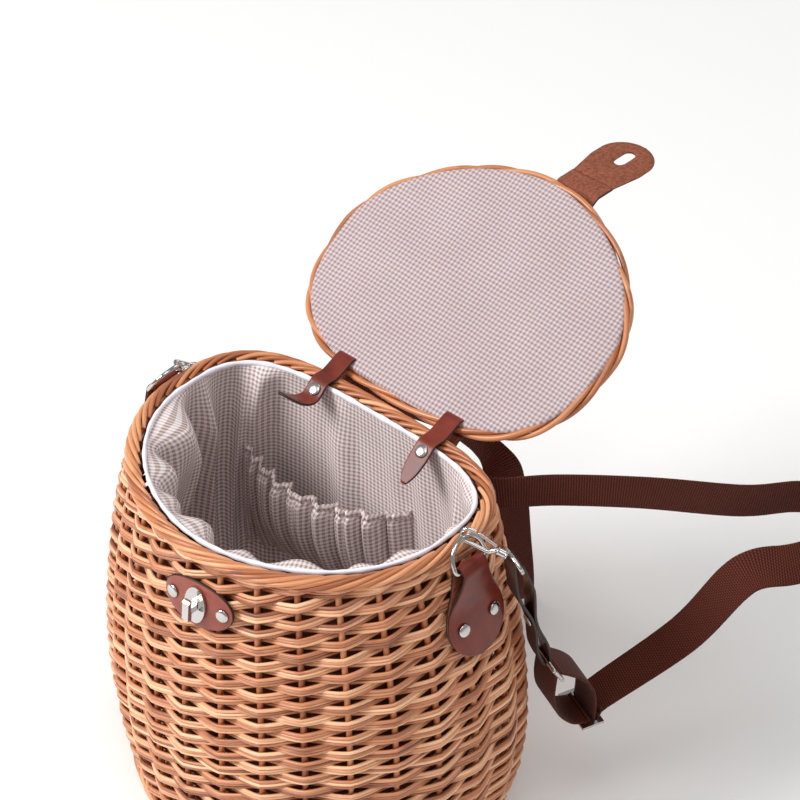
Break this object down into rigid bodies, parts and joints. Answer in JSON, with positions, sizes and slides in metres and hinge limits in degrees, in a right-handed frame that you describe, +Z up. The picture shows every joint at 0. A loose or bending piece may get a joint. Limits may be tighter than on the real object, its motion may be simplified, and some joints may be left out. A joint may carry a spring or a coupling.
{
  "type": "pack basket",
  "caption": "Woven willow pack basket with a hinged lid open at the back, gingham lining and pocket, leather tabs and two webbing shoulder straps.",
  "frame": {"origin": "on the floor, at the underside of the basket's base, under the middle of the mouth's side-to-side axis", "axes": "+X to the wearer's right, +Y towards the back that lies against the wearer and carries the lid's hinge, +Z up"},
  "size_m": [0.5142, 0.5, 0.4037],
  "materials": {
    "willow": "peeled willow, golden, thin clear varnish",
    "willow_border": "peeled willow rods, golden brown, satin varnish",
    "base_board": "plain wood, unpolished",
    "lid_willow": "peeled willow, golden, thin clear varnish",
    "gingham": "small gingham check, grey-rose and white plain-weave cotton",
    "piping": "white cotton binding",
    "webbing": "ribbed brown nylon webbing",
    "leather": "reddish brown leather, semi-gloss, black painted edges",
    "nickel": "polished nickel plating"
  },
  "bodies": {
    "basket": {"back_patch": "leather", "back_rivet_1": "nickel", "back_rivet_2": "nickel", "back_rivet_3": "nickel", "back_rivet_4": "nickel", "basket_base": "base_board", "basket_wall": "willow", "connector_rivet_left": "nickel", "connector_rivet_right": "nickel", "foot_border": "willow_border", "hinge_rivet_left": "nickel", "hinge_rivet_right": "nickel", "hinge_strap_left": "leather", "hinge_strap_right": "leather", "hook_eye_left": "nickel", "hook_eye_right": "nickel", "lining_bag": "gingham", "lining_piping": "piping", "lining_pocket": "gingham", "lock_backing": "nickel", "lock_base": "nickel", "lock_plate": "leather", "lock_rivet_1": "nickel", "lock_rivet_2": "nickel", "pocket_elastic": "gingham", "rim_border": "willow_border", "side_rivet_left_1": "nickel", "side_rivet_left_2": "nickel", "side_rivet_right_1": "nickel", "side_rivet_right_2": "nickel", "side_tab_left": "leather", "side_tab_right": "leather", "snap_hook_left": "nickel", "snap_hook_right": "nickel", "strap_buckle_left": "nickel", "strap_buckle_right": "nickel", "strap_connector_left": "leather", "strap_connector_right": "leather", "strap_left": "webbing", "strap_right": "webbing", "strap_slider_left": "nickel", "strap_slider_right": "nickel"},
    "lid": {"lid_border": "willow_border", "lid_panel": "lid_willow", "lid_lining": "gingham", "tongue_patch": "leather", "tongue_rivet_1": "nickel", "tongue_rivet_2": "nickel"},
    "tongue": {"lid_tongue": "leather"},
    "toggle": {"lock_toggle": "nickel"},
    "ring_right": {"d_ring_right": "nickel"},
    "ring_left": {"d_ring_left": "nickel"},
    "gate_right": {"hook_gate_right": "nickel"},
    "gate_left": {"hook_gate_left": "nickel"}
  },
  "joints": [
    {"name": "lid_hinge", "type": "hinge", "parent": "basket", "child": "lid", "pos_m": [0, 0.088, 0.3045], "axis": [1, 0, 0], "range_deg": [0, 151], "deforming": ["hinge_strap_left", "hinge_strap_right"]},
    {"name": "tongue_fold", "type": "hinge", "parent": "lid", "child": "tongue", "pos_m": [0.014, 0.28, 0.39664], "axis": [1, 0, 0], "range_deg": [0, 110.5]},
    {"name": "toggle_turn", "type": "hinge", "parent": "basket", "child": "toggle", "pos_m": [0.01409, -0.12677, 0.261], "axis": [0.1001, -0.987, 0.1257], "range_deg": [0, 90]},
    {"name": "ring_swing_right", "type": "hinge", "parent": "basket", "child": "ring_right", "pos_m": [0.15122, 0.00455, 0.2905], "axis": [-0.0011, 1, 0], "range_deg": [0, 4]},
    {"name": "ring_swing_left", "type": "hinge", "parent": "basket", "child": "ring_left", "pos_m": [-0.15122, 0.00455, 0.2905], "axis": [-0.0011, -1, 0], "range_deg": [0, 4]},
    {"name": "gate_press_right", "type": "hinge", "parent": "basket", "child": "gate_right", "pos_m": [0.16212, 0.01841, 0.30507], "axis": [0.4292, -0.8901, 0.1534], "range_deg": [0, 24], "stiffness_Nm_per_rad": 0.01, "springref_deg": -8.59},
    {"name": "gate_press_left", "type": "hinge", "parent": "basket", "child": "gate_left", "pos_m": [-0.15664, 0.03662, 0.28518], "axis": [0.4643, 0.6315, 0.621], "range_deg": [0, 24], "stiffness_Nm_per_rad": 0.01, "springref_deg": -8.59}
  ]
}
